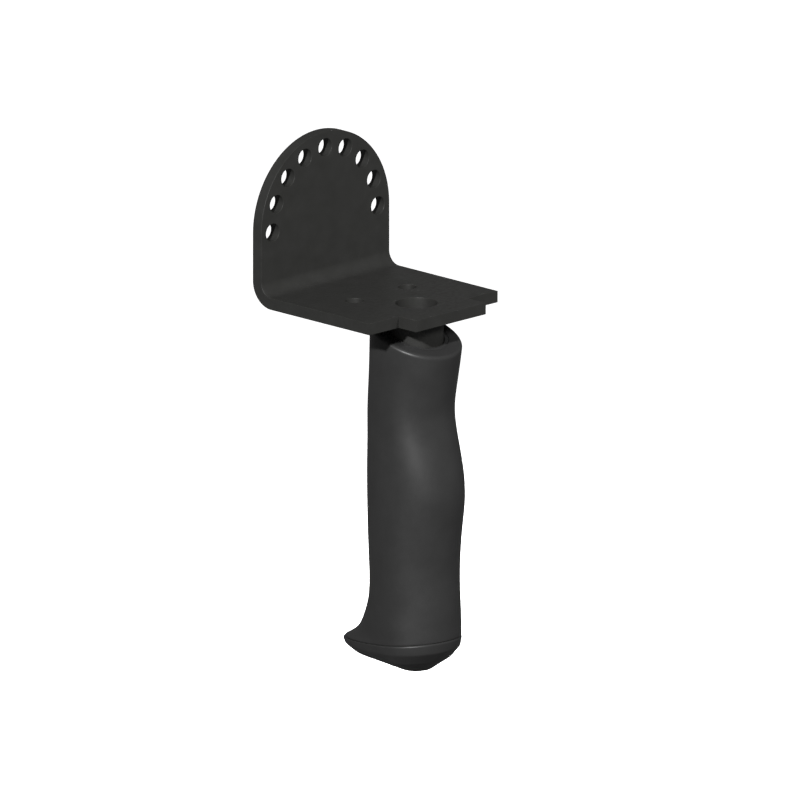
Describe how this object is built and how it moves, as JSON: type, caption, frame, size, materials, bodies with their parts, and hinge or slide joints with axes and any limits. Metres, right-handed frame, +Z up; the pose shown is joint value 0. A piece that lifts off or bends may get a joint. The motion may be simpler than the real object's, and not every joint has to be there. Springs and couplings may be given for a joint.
{
  "type": "handle bracket",
  "caption": "Right-angle plate bracket with an arc of index holes in its rounded upright and a shaped hand grip that swivels on a neck under its base plate.",
  "frame": {"origin": "centre of the large hole, on the base plate's top face", "axes": "+X across the base plate, +Y towards the upright, +Z up, away from the grip"},
  "size_m": [0.06, 0.064, 0.1755],
  "materials": {
    "black_steel": "satin black powder coat",
    "grip_rubber": "satin soft-touch rubber",
    "cap_plastic": "satin moulded plastic",
    "core_plastic": "glass-filled nylon",
    "bearing_plastic": "acetal",
    "friction_pad": "pressed friction material",
    "seal_rubber": "matte",
    "black_fastener": "black oxide",
    "zinc_steel": "bright zinc plate",
    "insert_brass": "knurled"
  },
  "bodies": {
    "bracket": {"bracket_plate": "black_steel", "neck_boss": "black_steel", "neck_weld": "black_steel"},
    "grip": {"clamp_bolt": "black_fastener", "lock_washer": "black_fastener", "friction_washer": "friction_pad", "swivel_bush": "bearing_plastic", "neck_seal": "seal_rubber", "nut_washer": "zinc_steel", "lock_nut": "zinc_steel", "nylon_ring": "bearing_plastic", "stop_screw": "black_fastener", "grip_sleeve": "grip_rubber", "grip_core": "core_plastic", "threaded_inserts": "insert_brass", "base_cap": "cap_plastic", "cap_screws": "black_fastener"}
  },
  "joints": [
    {"name": "grip_swivel", "type": "hinge", "parent": "bracket", "child": "grip", "pos_m": [0, 0, 0], "axis": [0, 0, 1], "range_deg": [-90, 90]}
  ]
}
